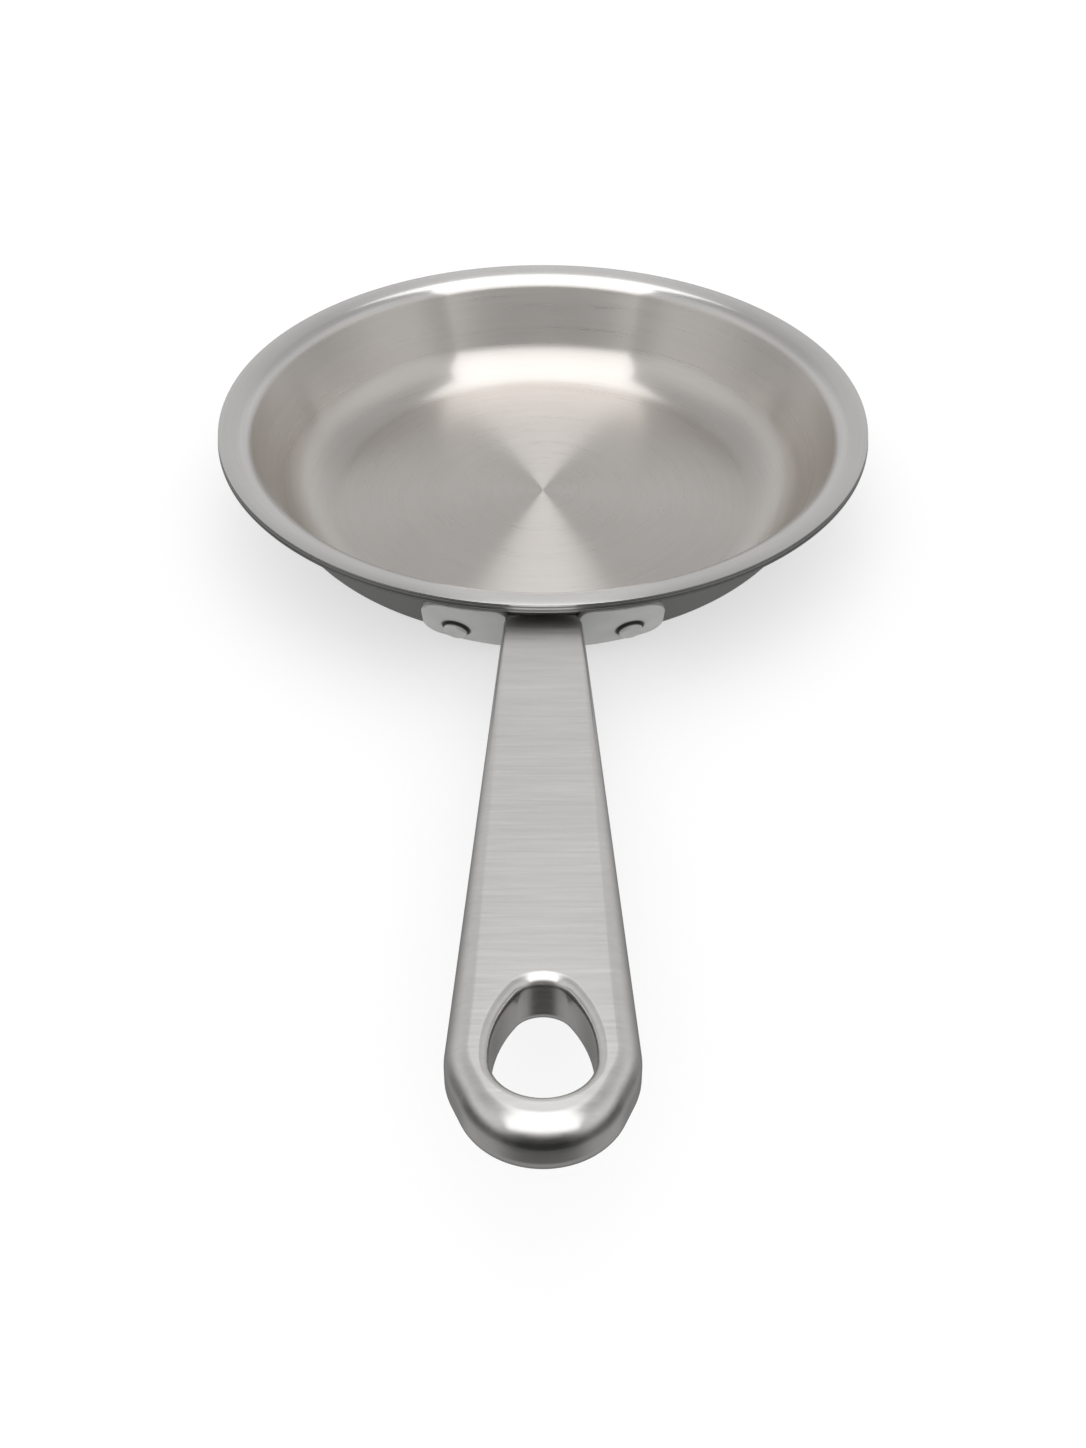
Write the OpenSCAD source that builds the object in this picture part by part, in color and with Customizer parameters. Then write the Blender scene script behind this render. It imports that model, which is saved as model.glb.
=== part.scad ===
// A frying pan: a body drawn from five bonded metal layers, a bracket riveted to its wall,
// and a hollow handle of two pressed shells welded to the bracket.
// Lengths are in millimetres. The origin is the centre of the underside, Z points up,
// and the handle runs towards -Y and rises away from the body.

/* [Body] */
// Diameter across the upper edge of the rim
rim_d = 203.2; // [200:0.1:210]
// Depth from the rim to the floor, inside
pan_depth = 31.2; // [29.5:0.1:34]
// Diameter of the flat floor, inside
floor_d = 135.4; // [130:0.1:140]
// Radius of the curve from the floor into the wall, inside
corner_r = 17.8; // [15:0.1:20]
// Slope of the wall, in degrees above level
wall_angle = 65; // [62:1:68]
// Radius of the bend from the wall into the lip, inside
lip_bend_r = 6.1; // [5:0.1:7.5]
// Slope of the lip, in degrees above level
lip_angle = 9; // [5:1:13]

/* [Layers] */
// Thickness of the inner steel layer
inner_steel_t = 0.4; // [0.3:0.05:0.6]
// Thickness of the aluminium layer above the core
upper_aluminium_t = 0.5; // [0.4:0.05:0.7]
// Thickness of the steel core
core_steel_t = 0.4; // [0.3:0.05:0.6]
// Thickness of the aluminium layer below the core
lower_aluminium_t = 0.5; // [0.4:0.05:0.7]
// Thickness of the outer steel layer
outer_steel_t = 0.4; // [0.3:0.05:0.6]
// How far the aluminium edges are set back at the rim
edge_setback = 0.15; // [0.05:0.05:0.3]

/* [Bracket] */
// Width of the bracket across its two ears
bracket_w = 68.6; // [64:0.1:74]
// Height of the bracket along the wall, beside the dip
bracket_h = 21; // [19:0.1:22]
// How much lower the top edge is at the outer corners of the ears
ear_drop = 2; // [0:0.1:3]
// Thickness of the bracket
bracket_t = 2; // [1.5:0.1:2.5]
// Distance down the wall from the lip's bend to the bracket
bracket_down = 3.9; // [3.5:0.1:5.5]
// Radius of the upper corners of the ears
ear_upper_r = 8; // [5:0.5:9]
// Radius of the lower corners of the ears
ear_lower_r = 5; // [3:0.5:8]
// Width of the dip in the bracket's top edge, behind the handle
dip_w = 20; // [18:0.5:21]
// Depth of the dip
dip_h = 4.2; // [3:0.1:4.8]
// Radius of the corners beside the dip
dip_corner_r = 3.6; // [2:0.1:4]

/* [Rivets] */
// Diameter of the rivet shank
shank_d = 6.8; // [6:0.1:7.5]
// Diameter of the rivet head inside the pan
head_d = 12; // [10:0.1:13]
// Height of the rivet head at its middle
head_h = 1.8; // [1.4:0.1:2.2]
// Height of the rim of the rivet head
head_edge_h = 0.8; // [0.5:0.1:1]
// How far the shank stands out of the bracket
shank_out = 1.7; // [1:0.1:2.5]
// Bevel round the outer end of the shank
shank_bevel = 0.4; // [0.2:0.1:0.8]
// Distance from the end of an ear in to its rivet
rivet_in = 10.8; // [9.7:0.1:12]
// Distance down the wall from the lip's bend to the rivets
rivet_down = 16.6; // [15:0.1:18]
// Gap round the shank in its holes
rivet_gap = 0.05; // [0.02:0.01:0.1]

/* [Handle] */
// Length of the handle along its top face
handle_l = 184.3; // [175:0.1:195]
// Width of the handle at the pan
neck_w = 21.2; // [20.5:0.1:22]
// Width of the handle at its widest
handle_w = 33.7; // [32:0.1:36]
// Distance from the end of the handle back to its widest place
widest_back = 19.7; // [19:0.1:24]
// Radius of the end of the handle
tip_r = 14.95; // [14.5:0.05:16]
// Thickness of the handle
handle_t = 10.5; // [10.4:0.1:12]
// Radius of the long edges at the neck, from where it grows to that of the end
neck_edge_r = 1.2; // [0.8:0.1:1.6]
// Radius of the upper edges at the widest place and round the end
handle_edge_r = 4.4; // [3.4:0.1:4.4]
// Radius of the lower edges there
lower_edge_r = 3.5; // [3:0.1:4.4]
// Radius of the arch that ends the neck, seen from above
nose_r = 26; // [22:0.5:32]
// Radius of the corners beside that arch, seen from above
neck_corner_r = 4.4; // [3.8:0.1:5]
// Radius of the edge over that arch
nose_edge_r = 1; // [0.6:0.1:1.4]
// Rise of the handle, in degrees above level
handle_angle = 12.5; // [10:0.5:15]
// How far the end of the neck tucks in under the rim
neck_tuck = 4.95; // [4.5:0.05:5.5]
// How far the neck's top face lies below the rim
neck_drop = 6.5; // [6:0.1:7.5]
// Depth of the neck where it meets the bracket
root_depth = 18; // [16:0.1:19]
// Length of the neck over which the handle thins
root_l = 42; // [35:1:60]
// How far the root draws in where it fades into the handle
root_fade = 1; // [0.6:0.1:1.4]
// Radius of the root's lower edges
root_edge_r = 3.4; // [2.5:0.1:4]
// Thickness of the pressed shells
shell_t = 1.5; // [1.2:0.1:1.8]
// Least radius of an edge inside the shells
inner_edge_r = 0.4; // [0.2:0.1:0.6]

/* [Hanging hole] */
// Length of the hole along the handle
hole_l = 27.8; // [27:0.1:30]
// Width of the hole at its wide end
hole_w = 17.7; // [17:0.1:18]
// Radius of the narrow end of the hole
hole_narrow_r = 5.4; // [5:0.1:6.5]
// Radius of the hole's long sides, which swell a little
hole_side_r = 28; // [24:1:60]
// Distance from the end of the handle to the hole
hole_back = 8.4; // [8.2:0.1:10]
// Radius of the rolled edge round the hole
hole_edge_r = 2.3; // [1.5:0.1:2.4]

/* [Hidden] */

// Smoothness of true circles, of the slabs that a hull joins, and of the profile's bends
$fn = 96;
slab_fn = 40;
edge_steps = 6;
bend_steps = 10;

// Depths of the layer faces below the inner face of the pan
upper_aluminium_at = inner_steel_t;
core_steel_at = upper_aluminium_at + upper_aluminium_t;
lower_aluminium_at = core_steel_at + core_steel_t;
outer_steel_at = lower_aluminium_at + lower_aluminium_t;
wall_t = outer_steel_at + outer_steel_t;

// Main places of the pan's inner face
rim_r = rim_d / 2;
floor_r = floor_d / 2;
rim_z = wall_t + pan_depth;
corner_at = [floor_r, wall_t + corner_r];

// Distance across the pan between the rivets
rivet_spacing = bracket_w - 2 * rivet_in;

// Direction up the wall, and the directions out of the wall and out of the lip
wall_up = [cos(wall_angle), sin(wall_angle)];
wall_out = [sin(wall_angle), -cos(wall_angle)];
lip_along = [cos(lip_angle), sin(lip_angle)];
lip_out = [sin(lip_angle), -cos(lip_angle)];

// What the straight wall and the straight lip have to span, beside the two bends
span_r = rim_r - floor_r - corner_r * sin(wall_angle)
    - lip_bend_r * (sin(wall_angle) - sin(lip_angle));
span_z = pan_depth - corner_r * (1 - cos(wall_angle))
    - lip_bend_r * (cos(lip_angle) - cos(wall_angle));
wall_l = (span_z * cos(lip_angle) - span_r * sin(lip_angle)) / sin(wall_angle - lip_angle);

// Where the wall ends in the lip's bend, and the centre of that bend
bend_start = corner_at + corner_r * wall_out + wall_l * wall_up;
bend_at = bend_start + lip_bend_r * wall_out;

// Room that cuts and masks run past what they cut, and their reach to either side of the wall
overrun = rim_d;
wall_reach = rim_r / 4;

// The neck's corners: their place across, and their bearing from the arch's centre
neck_r = neck_w / 2;
neck_corner_x = neck_r - neck_corner_r;
nose_reach = nose_r - neck_corner_r;
nose_bearing = asin(neck_corner_x / nose_reach);

// Places along the handle, measured from the middle of the arch
neck_at = nose_r - nose_reach * cos(nose_bearing);
widest_r = handle_w / 2;
widest_at = handle_l - widest_back;
split_z = -handle_t / 2;

// Place of the root's deep end, so far in that its round end lies over the edge of the floor
root_at = floor_r + neck_r + neck_tuck - rim_r;

// Slabs along the arch, and the share of its bearing that they cover
nose_steps = 4;
nose_share = 0.75;

// Places of the hanging hole's two ends
hole_wide_r = hole_w / 2;
hole_wide_at = handle_l - hole_back - hole_wide_r;
hole_narrow_at = handle_l - hole_back - hole_l + hole_narrow_r;

// Centre of the arc along the hole's right side, and its bearings from there to the two ends
hole_gap = hole_wide_at - hole_narrow_at;
wide_reach = hole_side_r - hole_wide_r;
narrow_reach = hole_side_r - hole_narrow_r;
side_back = (narrow_reach * narrow_reach - wide_reach * wide_reach + hole_gap * hole_gap)
    / (2 * hole_gap);
side_at = [-sqrt(narrow_reach * narrow_reach - side_back * side_back),
           -hole_narrow_at - side_back];
narrow_bearing = asin(side_back / narrow_reach);
wide_bearing = -asin((hole_gap - side_back) / wide_reach);
side_steps = 6;

// Slopes that make up the rolled edge of the hanging hole, how far each runs on, and the
// spaces between the circles that a slope joins
roll_steps = 3;
roll_spaces = 3;
slope_run_share = 0.3;

// Points on the face at a depth below the inner face, from the axis to the top of the wall
function wall_face(depth) = concat(
    [[0, wall_t - depth]],
    [for (i = [0 : bend_steps])
        let (a = wall_angle * i / bend_steps)
        corner_at + (corner_r + depth) * [sin(a), -cos(a)]],
    [bend_start + depth * wall_out]);

// The same face on through the bend and the lip, cut back from the rim by a setback
function layer_face(depth, setback) = concat(
    wall_face(depth),
    [for (i = [1 : bend_steps])
        let (a = wall_angle - (wall_angle - lip_angle) * i / bend_steps)
        bend_at - (lip_bend_r - depth) * [sin(a), -cos(a)]],
    [[rim_r, rim_z] + depth * lip_out - setback * lip_along]);

function reversed(points) = [for (i = [len(points) - 1 : -1 : 0]) points[i]];

// Radius of an edge on a face that is drawn in by an inset
function inset_edge(edge_r, inset) = inset == 0 ? edge_r : max(edge_r - inset, inner_edge_r);

// Half the width of the handle's straight taper at a place along it
function taper_r(along) =
    neck_r + (widest_r - neck_r) * (along - neck_at) / (widest_at - neck_at);

// Puts a shape on the wall at one side: X across, Y up the wall, Z out of it
module on_wall(down, azimuth) {
    place = bend_start - down * wall_up;
    rotate([0, 0, azimuth])
        translate([0, -place[0], place[1]])
            rotate([180 - wall_angle, 0, 0])
                children();
}

// Puts a shape at a rivet, with the inner face of the wall at height 0
module at_rivet(side) {
    azimuth = asin(rivet_spacing / 2 / (bend_start[0] - rivet_down * wall_up[0]));
    on_wall(rivet_down, side * azimuth) children();
}

module rivet_holes() {
    for (side = [-1, 1])
        at_rivet(side)
            cylinder(h = 2 * wall_reach, r = shank_d / 2 + rivet_gap, center = true);
}

// One bonded layer of the body
module layer(from_depth, to_depth, setback) {
    difference() {
        rotate_extrude()
            polygon(concat(layer_face(from_depth, setback),
                           reversed(layer_face(to_depth, setback))));
        rivet_holes();
    }
}

module inner_steel_layer() {
    color("gainsboro")
        layer(0, upper_aluminium_at, 0);
}

module upper_aluminium_layer() {
    color("darkgray")
        layer(upper_aluminium_at, core_steel_at, edge_setback);
}

module core_steel_layer() {
    color("gainsboro")
        layer(core_steel_at, lower_aluminium_at, 0);
}

module lower_aluminium_layer() {
    color("darkgray")
        layer(lower_aluminium_at, outer_steel_at, edge_setback);
}

module outer_steel_layer() {
    color("silver")
        layer(outer_steel_at, wall_t, 0);
}

// Outline of the bracket seen square to the wall, with the top of its shoulders at height 0
module bracket_outline() {
    shoulder_x = dip_w / 2 + dip_corner_r;
    upper_x = bracket_w / 2 - ear_upper_r;
    lower_x = bracket_w / 2 - ear_lower_r;
    difference() {
        hull()
            for (side = [-1, 1]) {
                translate([side * shoulder_x, -dip_corner_r])
                    circle(r = dip_corner_r, $fn = slab_fn);
                translate([side * upper_x, -ear_drop - ear_upper_r])
                    circle(r = ear_upper_r, $fn = slab_fn);
                translate([side * lower_x, ear_lower_r - bracket_h])
                    circle(r = ear_lower_r, $fn = slab_fn);
            }
        bracket_dip();
    }
}

// The dip in the top edge, with its two shoulders rounded over
module bracket_dip() {
    translate([-dip_w / 2, -dip_h])
        square([dip_w, 2 * dip_h]);
    for (side = [-1, 1])
        difference() {
            translate([side * (dip_w + dip_corner_r) / 2, 0])
                square([dip_corner_r, 2 * dip_corner_r], center = true);
            translate([side * (dip_w / 2 + dip_corner_r), -dip_corner_r])
                circle(r = dip_corner_r);
        }
}

module handle_bracket() {
    color("darkgray")
        difference() {
            intersection() {
                rotate_extrude()
                    polygon(concat(wall_face(wall_t), reversed(wall_face(wall_t + bracket_t))));
                on_wall(bracket_down, 0)
                    translate([0, 0, -wall_reach])
                        linear_extrude(2 * wall_reach)
                            bracket_outline();
            }
            rivet_holes();
        }
}

// Puts a shape on the handle: the neck's end at the origin, the top face at height 0
module on_handle() {
    translate([0, neck_tuck - rim_r, rim_z - neck_drop])
        rotate([-handle_angle, 0, 0])
            children();
}

// A round slab with rolled edges, level across the handle and drawn in all round by an inset,
// for a hull to join
module slab(across, along, full_r, full_top, full_bottom, full_upper_r, full_lower_r, inset) {
    r = full_r - inset;
    top = full_top - inset;
    bottom = full_bottom + inset;
    upper_r = inset_edge(full_upper_r, inset);
    lower_r = inset_edge(full_lower_r, inset);
    upper_edge = [for (i = [0 : edge_steps])
        let (a = 90 * i / edge_steps)
        [r - upper_r, top - upper_r] + upper_r * [sin(a), cos(a)]];
    lower_edge = [for (i = [0 : edge_steps])
        let (a = 90 * i / edge_steps)
        [r - lower_r, bottom + lower_r] + lower_r * [cos(a), -sin(a)]];
    translate([across, -along, 0])
        rotate_extrude($fn = slab_fn)
            polygon(concat([[0, top]], upper_edge, lower_edge, [[0, bottom]]));
}

// The arched end of the neck: slabs along the arch, with an edge of their own, and two corners
module nose(inset) {
    for (i = [0 : nose_steps]) {
        bearing = nose_share * nose_bearing * (2 * i / nose_steps - 1);
        slab(nose_reach * sin(bearing), nose_r - nose_reach * cos(bearing),
             neck_corner_r, 0, -handle_t, nose_edge_r, nose_edge_r, inset);
    }
    for (side = [-1, 1])
        slab(side * neck_corner_x, neck_at, neck_corner_r, 0, -handle_t,
             neck_edge_r, neck_edge_r, inset);
}

// The plain handle without its deep root, drawn in all round by an inset
module handle_blank(inset) {
    hull() {
        nose(inset);
        slab(0, widest_at, widest_r, 0, -handle_t, handle_edge_r, lower_edge_r, inset);
        slab(0, handle_l - tip_r, tip_r, 0, -handle_t, handle_edge_r, lower_edge_r, inset);
    }
}

// The deep root under the neck, run on past the bracket and drawn in by an inset
module root_blank(top, inset) {
    hull() {
        slab(0, root_at, taper_r(root_at), top, -root_depth, root_edge_r, root_edge_r, inset);
        slab(0, root_l, taper_r(root_l) - root_fade, top, root_fade - handle_t,
             root_edge_r, root_edge_r, inset);
    }
}

// Everything inside the outer face of the bracket
module bracket_seat() {
    face = wall_face(wall_t + bracket_t);
    top = face[len(face) - 1];
    rotate_extrude()
        polygon(concat(face, [[top[0], overrun], [0, overrun]]));
}

// Bearing from the side arc's centre, at a share of the way from the wide end to the narrow end
function side_bearing(share) = wide_bearing + share * (narrow_bearing - wide_bearing);

// Outline of the hanging hole, widened all round: two circles, joined by an arc on each side
module hole_outline(wider) {
    right = [for (i = [0 : side_steps])
        let (a = side_bearing(i / side_steps))
        side_at + (hole_side_r + wider) * [cos(a), sin(a)]];
    left = [for (place = reversed(right)) [-place[0], place[1]]];
    translate([0, -hole_narrow_at])
        circle(r = hole_narrow_r + wider);
    translate([0, -hole_wide_at])
        circle(r = hole_wide_r + wider);
    polygon(concat(right, left));
}

// The hole through both shells, or the wall round it
module hole_prism(wider) {
    translate([0, 0, -2 * handle_t])
        linear_extrude(3 * handle_t)
            hole_outline(wider);
}

// The rolled edge of the hole, cut down from a face at height 0 in short slopes.
// Each slope runs on at both its ends, where there is nothing left to cut.
module hole_roll() {
    for (i = [1 : roll_steps]) {
        from = 90 * (i - 1) / roll_steps;
        to = 90 * i / roll_steps;
        slope_h = hole_edge_r * (cos(from) - cos(to));
        slope_w = hole_edge_r * (sin(to) - sin(from));
        bottom_w = hole_edge_r * (1 - sin(to)) - slope_run_share * slope_w;
        top_w = hole_edge_r * (1 - sin(from)) + slope_run_share * slope_w;
        bottom_z = -hole_edge_r * (1 - cos(to)) - slope_run_share * slope_h;
        hull()
            for (k = [0 : roll_spaces]) {
                a = side_bearing(k / roll_spaces);
                r = hole_side_r + side_at[0] / cos(a);
                translate([0, side_at[1] - side_at[0] * tan(a), bottom_z])
                    cylinder(h = (1 + 2 * slope_run_share) * slope_h, r1 = r + bottom_w,
                             r2 = r + top_w, $fn = slab_fn);
            }
    }
}

// The half of the handle above or below the split
module half(side) {
    translate([-overrun, -2 * overrun, side > 0 ? split_z : split_z - overrun])
        cube([2 * overrun, 3 * overrun, overrun]);
}

module handle_upper_shell() {
    color("silver")
        on_handle()
            difference() {
                intersection() {
                    handle_blank(0);
                    half(1);
                }
                difference() {
                    handle_blank(shell_t);
                    hole_prism(shell_t);
                }
                hole_prism(0);
                hole_roll();
            }
}

module handle_lower_shell() {
    color("lightgray")
        difference() {
            on_handle()
                difference() {
                    intersection() {
                        union() {
                            handle_blank(0);
                            root_blank(split_z + root_edge_r, 0);
                        }
                        half(-1);
                    }
                    difference() {
                        union() {
                            handle_blank(shell_t);
                            root_blank(split_z, shell_t);
                        }
                        hole_prism(shell_t);
                    }
                    hole_prism(0);
                    translate([0, 0, -handle_t])
                        mirror([0, 0, 1])
                            hole_roll();
                }
            bracket_seat();
        }
}

// A rivet: a low head seated on the inner face, and a shank through wall and bracket
module rivet(side) {
    dome_h = head_h - head_edge_h;
    dome_r = (head_d * head_d / 4 + dome_h * dome_h) / (2 * dome_h);
    shank_l = wall_t + bracket_t + shank_out;
    difference() {
        at_rivet(side)
            intersection() {
                translate([0, 0, -head_h])
                    cylinder(h = head_h + wall_t, d = head_d);
                translate([0, 0, dome_r - head_h])
                    sphere(r = dome_r);
            }
        rotate_extrude()
            polygon(concat(wall_face(0), reversed(wall_face(2 * wall_t))));
    }
    at_rivet(side) {
        translate([0, 0, -head_edge_h / 2])
            cylinder(h = shank_l + head_edge_h / 2 - shank_bevel, d = shank_d);
        translate([0, 0, shank_l - shank_bevel])
            cylinder(h = shank_bevel, d1 = shank_d, d2 = shank_d - 2 * shank_bevel);
    }
}

module rivet_left() {
    color("lightgray")
        rivet(-1);
}

module rivet_right() {
    color("lightgray")
        rivet(1);
}

inner_steel_layer();
upper_aluminium_layer();
core_steel_layer();
lower_aluminium_layer();
outer_steel_layer();
handle_bracket();
handle_upper_shell();
handle_lower_shell();
rivet_left();
rivet_right();
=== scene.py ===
import math

import bmesh
import bpy
from mathutils import Matrix, Vector


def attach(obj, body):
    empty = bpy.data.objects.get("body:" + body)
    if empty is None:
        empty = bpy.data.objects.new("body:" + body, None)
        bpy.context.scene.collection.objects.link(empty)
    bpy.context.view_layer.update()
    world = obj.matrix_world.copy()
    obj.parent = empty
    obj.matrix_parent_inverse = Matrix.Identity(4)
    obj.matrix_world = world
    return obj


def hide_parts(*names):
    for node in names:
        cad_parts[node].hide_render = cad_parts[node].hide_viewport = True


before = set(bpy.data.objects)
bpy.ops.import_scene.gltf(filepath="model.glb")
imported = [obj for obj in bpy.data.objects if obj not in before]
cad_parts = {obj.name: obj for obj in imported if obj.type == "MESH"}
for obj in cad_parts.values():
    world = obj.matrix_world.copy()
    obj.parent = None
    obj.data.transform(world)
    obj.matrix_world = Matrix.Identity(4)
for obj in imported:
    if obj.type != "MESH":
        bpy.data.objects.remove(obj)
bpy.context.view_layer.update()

# Camera
# It looks down along the handle from beyond its end, as the photograph does. Its height, its
# distance and its focal length are those at which the rim and the handle fall where they do there.
mm = 0.001
rim_height = 33.4 * mm
camera_above_rim = 229 * mm
camera_before_axis = 393 * mm
camera_down = math.radians(43)
image_height_px = 1448
focal_length_px = 1400
sensor = 36

camera_data = bpy.data.cameras.new("camera")
camera_data.sensor_width = sensor
camera_data.lens = sensor * focal_length_px / image_height_px
camera = bpy.data.objects.new("camera", camera_data)
camera.location = (0, -camera_before_axis, rim_height + camera_above_rim)
camera.rotation_euler = (math.pi / 2 - camera_down, 0, 0)
bpy.context.scene.collection.objects.link(camera)
bpy.context.scene.camera = camera


# Inner steel layer
# The inside of the pan is a thin skin of stainless steel, drawn with the layers under it from
# one flat disc. The floor and the wall are turned in fine circles, the lip is polished finer.
wall_thickness = 2.2 * mm
inner_thickness = 0.4 * mm
rim_radius = 101.6 * mm
floor_radius = 67.7 * mm
corner_radius = 17.8 * mm
wall_angle = math.radians(65)
lip_bend_radius = 6.1 * mm
lip_angle = math.radians(9)
turning_centre = 1.5 * mm
edge_softness = 0.08 * mm
edge_softness_segments = 2
softened_above_angle = math.radians(50)
smooth_below_angle = math.radians(30)
segments_around = 256
corner_steps = 20
lip_bend_steps = 14

fine_line = 0.5 * mm
broad_line = 3 * mm
cloud_scale = 38
line_depth = 0.02 * mm
lip_finish_starts = 29.5 * mm
lip_finish_full = 31 * mm
inner_dark = (0.60, 0.565, 0.535, 1)
inner_light = (0.81, 0.775, 0.745, 1)
lip_dark = (0.63, 0.62, 0.61, 1)
lip_light = (0.83, 0.82, 0.81, 1)
quarter_turn = 0.25


def layer_path(depth):
    """Radius and height of points on the pan's profile, at a depth below its inner face."""
    pan_depth = rim_height - wall_thickness
    span_out = (rim_radius - floor_radius - corner_radius * math.sin(wall_angle)
                - lip_bend_radius * (math.sin(wall_angle) - math.sin(lip_angle)))
    span_up = (pan_depth - corner_radius * (1 - math.cos(wall_angle))
               - lip_bend_radius * (math.cos(lip_angle) - math.cos(wall_angle)))
    wall_length = ((span_up * math.cos(lip_angle) - span_out * math.sin(lip_angle))
                   / math.sin(wall_angle - lip_angle))
    corner = Vector((floor_radius, wall_thickness + corner_radius))
    out_of_wall = Vector((math.sin(wall_angle), -math.cos(wall_angle)))
    up_wall = Vector((math.cos(wall_angle), math.sin(wall_angle)))
    bend = corner + (corner_radius + lip_bend_radius) * out_of_wall + wall_length * up_wall
    path = [Vector((turning_centre, wall_thickness - depth))]
    for step in range(corner_steps + 1):
        slope = wall_angle * step / corner_steps
        path.append(corner + (corner_radius + depth) * Vector((math.sin(slope), -math.cos(slope))))
    for step in range(lip_bend_steps + 1):
        slope = wall_angle + (lip_angle - wall_angle) * step / lip_bend_steps
        path.append(bend - (lip_bend_radius - depth) * Vector((math.sin(slope), -math.cos(slope))))
    out_of_lip = Vector((math.sin(lip_angle), -math.cos(lip_angle)))
    path.append(Vector((rim_radius, rim_height)) + depth * out_of_lip)
    return path


def wall_end(depth):
    """Where the straight wall ends and the lip's bend starts, at a depth below the inner face."""
    return layer_path(depth)[corner_steps + 2]


def deselect():
    """Selects nothing, so that the next operator acts on the new piece alone."""
    if bpy.context.object and bpy.context.object.mode != "OBJECT":
        bpy.ops.object.mode_set(mode="OBJECT")
    bpy.ops.object.select_all(action="DESELECT")


def begin(name):
    """Names the primitive just added, settles its place into its mesh and opens it for editing."""
    piece = bpy.context.object
    piece.name = name
    piece.data.name = name
    bpy.ops.object.transform_apply(location=True, rotation=True, scale=True)
    bpy.ops.object.mode_set(mode="EDIT")
    bpy.ops.mesh.select_mode(type="VERT")
    bpy.ops.mesh.select_all(action="SELECT")
    return piece


def apply_modifier(piece, kind, **settings):
    """Adds a modifier with its settings and applies it."""
    bpy.ops.object.mode_set(mode="OBJECT")
    modifier = piece.modifiers.new(kind.lower(), kind)
    for setting, value in settings.items():
        setattr(modifier, setting, value)
    bpy.ops.object.modifier_apply(modifier=modifier.name)


def face_along(piece, direction):
    """Makes the open sheet's faces agree, with the first of them facing along a direction."""
    bpy.ops.object.mode_set(mode="EDIT")
    bpy.ops.mesh.select_all(action="SELECT")
    bpy.ops.mesh.normals_make_consistent(inside=False)
    bpy.ops.object.mode_set(mode="OBJECT")
    if piece.data.polygons[0].normal.dot(direction) < 0:
        bpy.ops.object.mode_set(mode="EDIT")
        bpy.ops.mesh.flip_normals()
        bpy.ops.object.mode_set(mode="OBJECT")


def turned_skin(name, depth, thickness, facing):
    """A skin of the pan: a small circle drawn out along the profile, closed and thickened."""
    path = layer_path(depth)
    deselect()
    bpy.ops.mesh.primitive_circle_add(vertices=segments_around, radius=path[0].x,
                                      location=(0, 0, path[0].y))
    skin = begin(name)
    for here, there in zip(path, path[1:]):
        grow = there.x / here.x
        bpy.ops.mesh.extrude_region_move(
            TRANSFORM_OT_translate={"value": (0, 0, there.y - here.y)})
        bpy.ops.transform.resize(value=(grow, grow, 1), center_override=(0, 0, there.y))
    bpy.ops.mesh.select_all(action="DESELECT")
    bpy.ops.mesh.select_mode(type="EDGE")
    mesh = bmesh.from_edit_mesh(skin.data)
    for edge in mesh.edges:
        if all(abs(end.co.xy.length - turning_centre) < edge_softness for end in edge.verts):
            edge.select = True
    bpy.ops.mesh.edge_face_add()
    face_along(skin, facing)
    apply_modifier(skin, "SOLIDIFY", thickness=thickness, offset=-1, use_even_offset=True)
    apply_modifier(skin, "BEVEL", width=edge_softness, segments=edge_softness_segments,
                   limit_method="ANGLE", angle_limit=softened_above_angle)
    bpy.ops.object.shade_smooth_by_angle(angle=smooth_below_angle)
    return skin


class Signal:
    """An output of a finish's node, so that the maths of a finish reads as plain expressions."""

    def __init__(self, finish, socket):
        self.finish = finish
        self.socket = socket

    def maths(self, operation, first, second):
        """Adds a sum of two numbers, of which either may be a signal."""
        return self.finish.node("ShaderNodeMath", {"operation": operation}, {0: first, 1: second})

    def __add__(self, other):
        return self.maths("ADD", self, other)

    def __sub__(self, other):
        return self.maths("SUBTRACT", self, other)

    def __rsub__(self, other):
        return self.maths("SUBTRACT", other, self)

    def __mul__(self, other):
        return self.maths("MULTIPLY", self, other)

    __radd__ = __add__
    __rmul__ = __mul__


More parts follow.
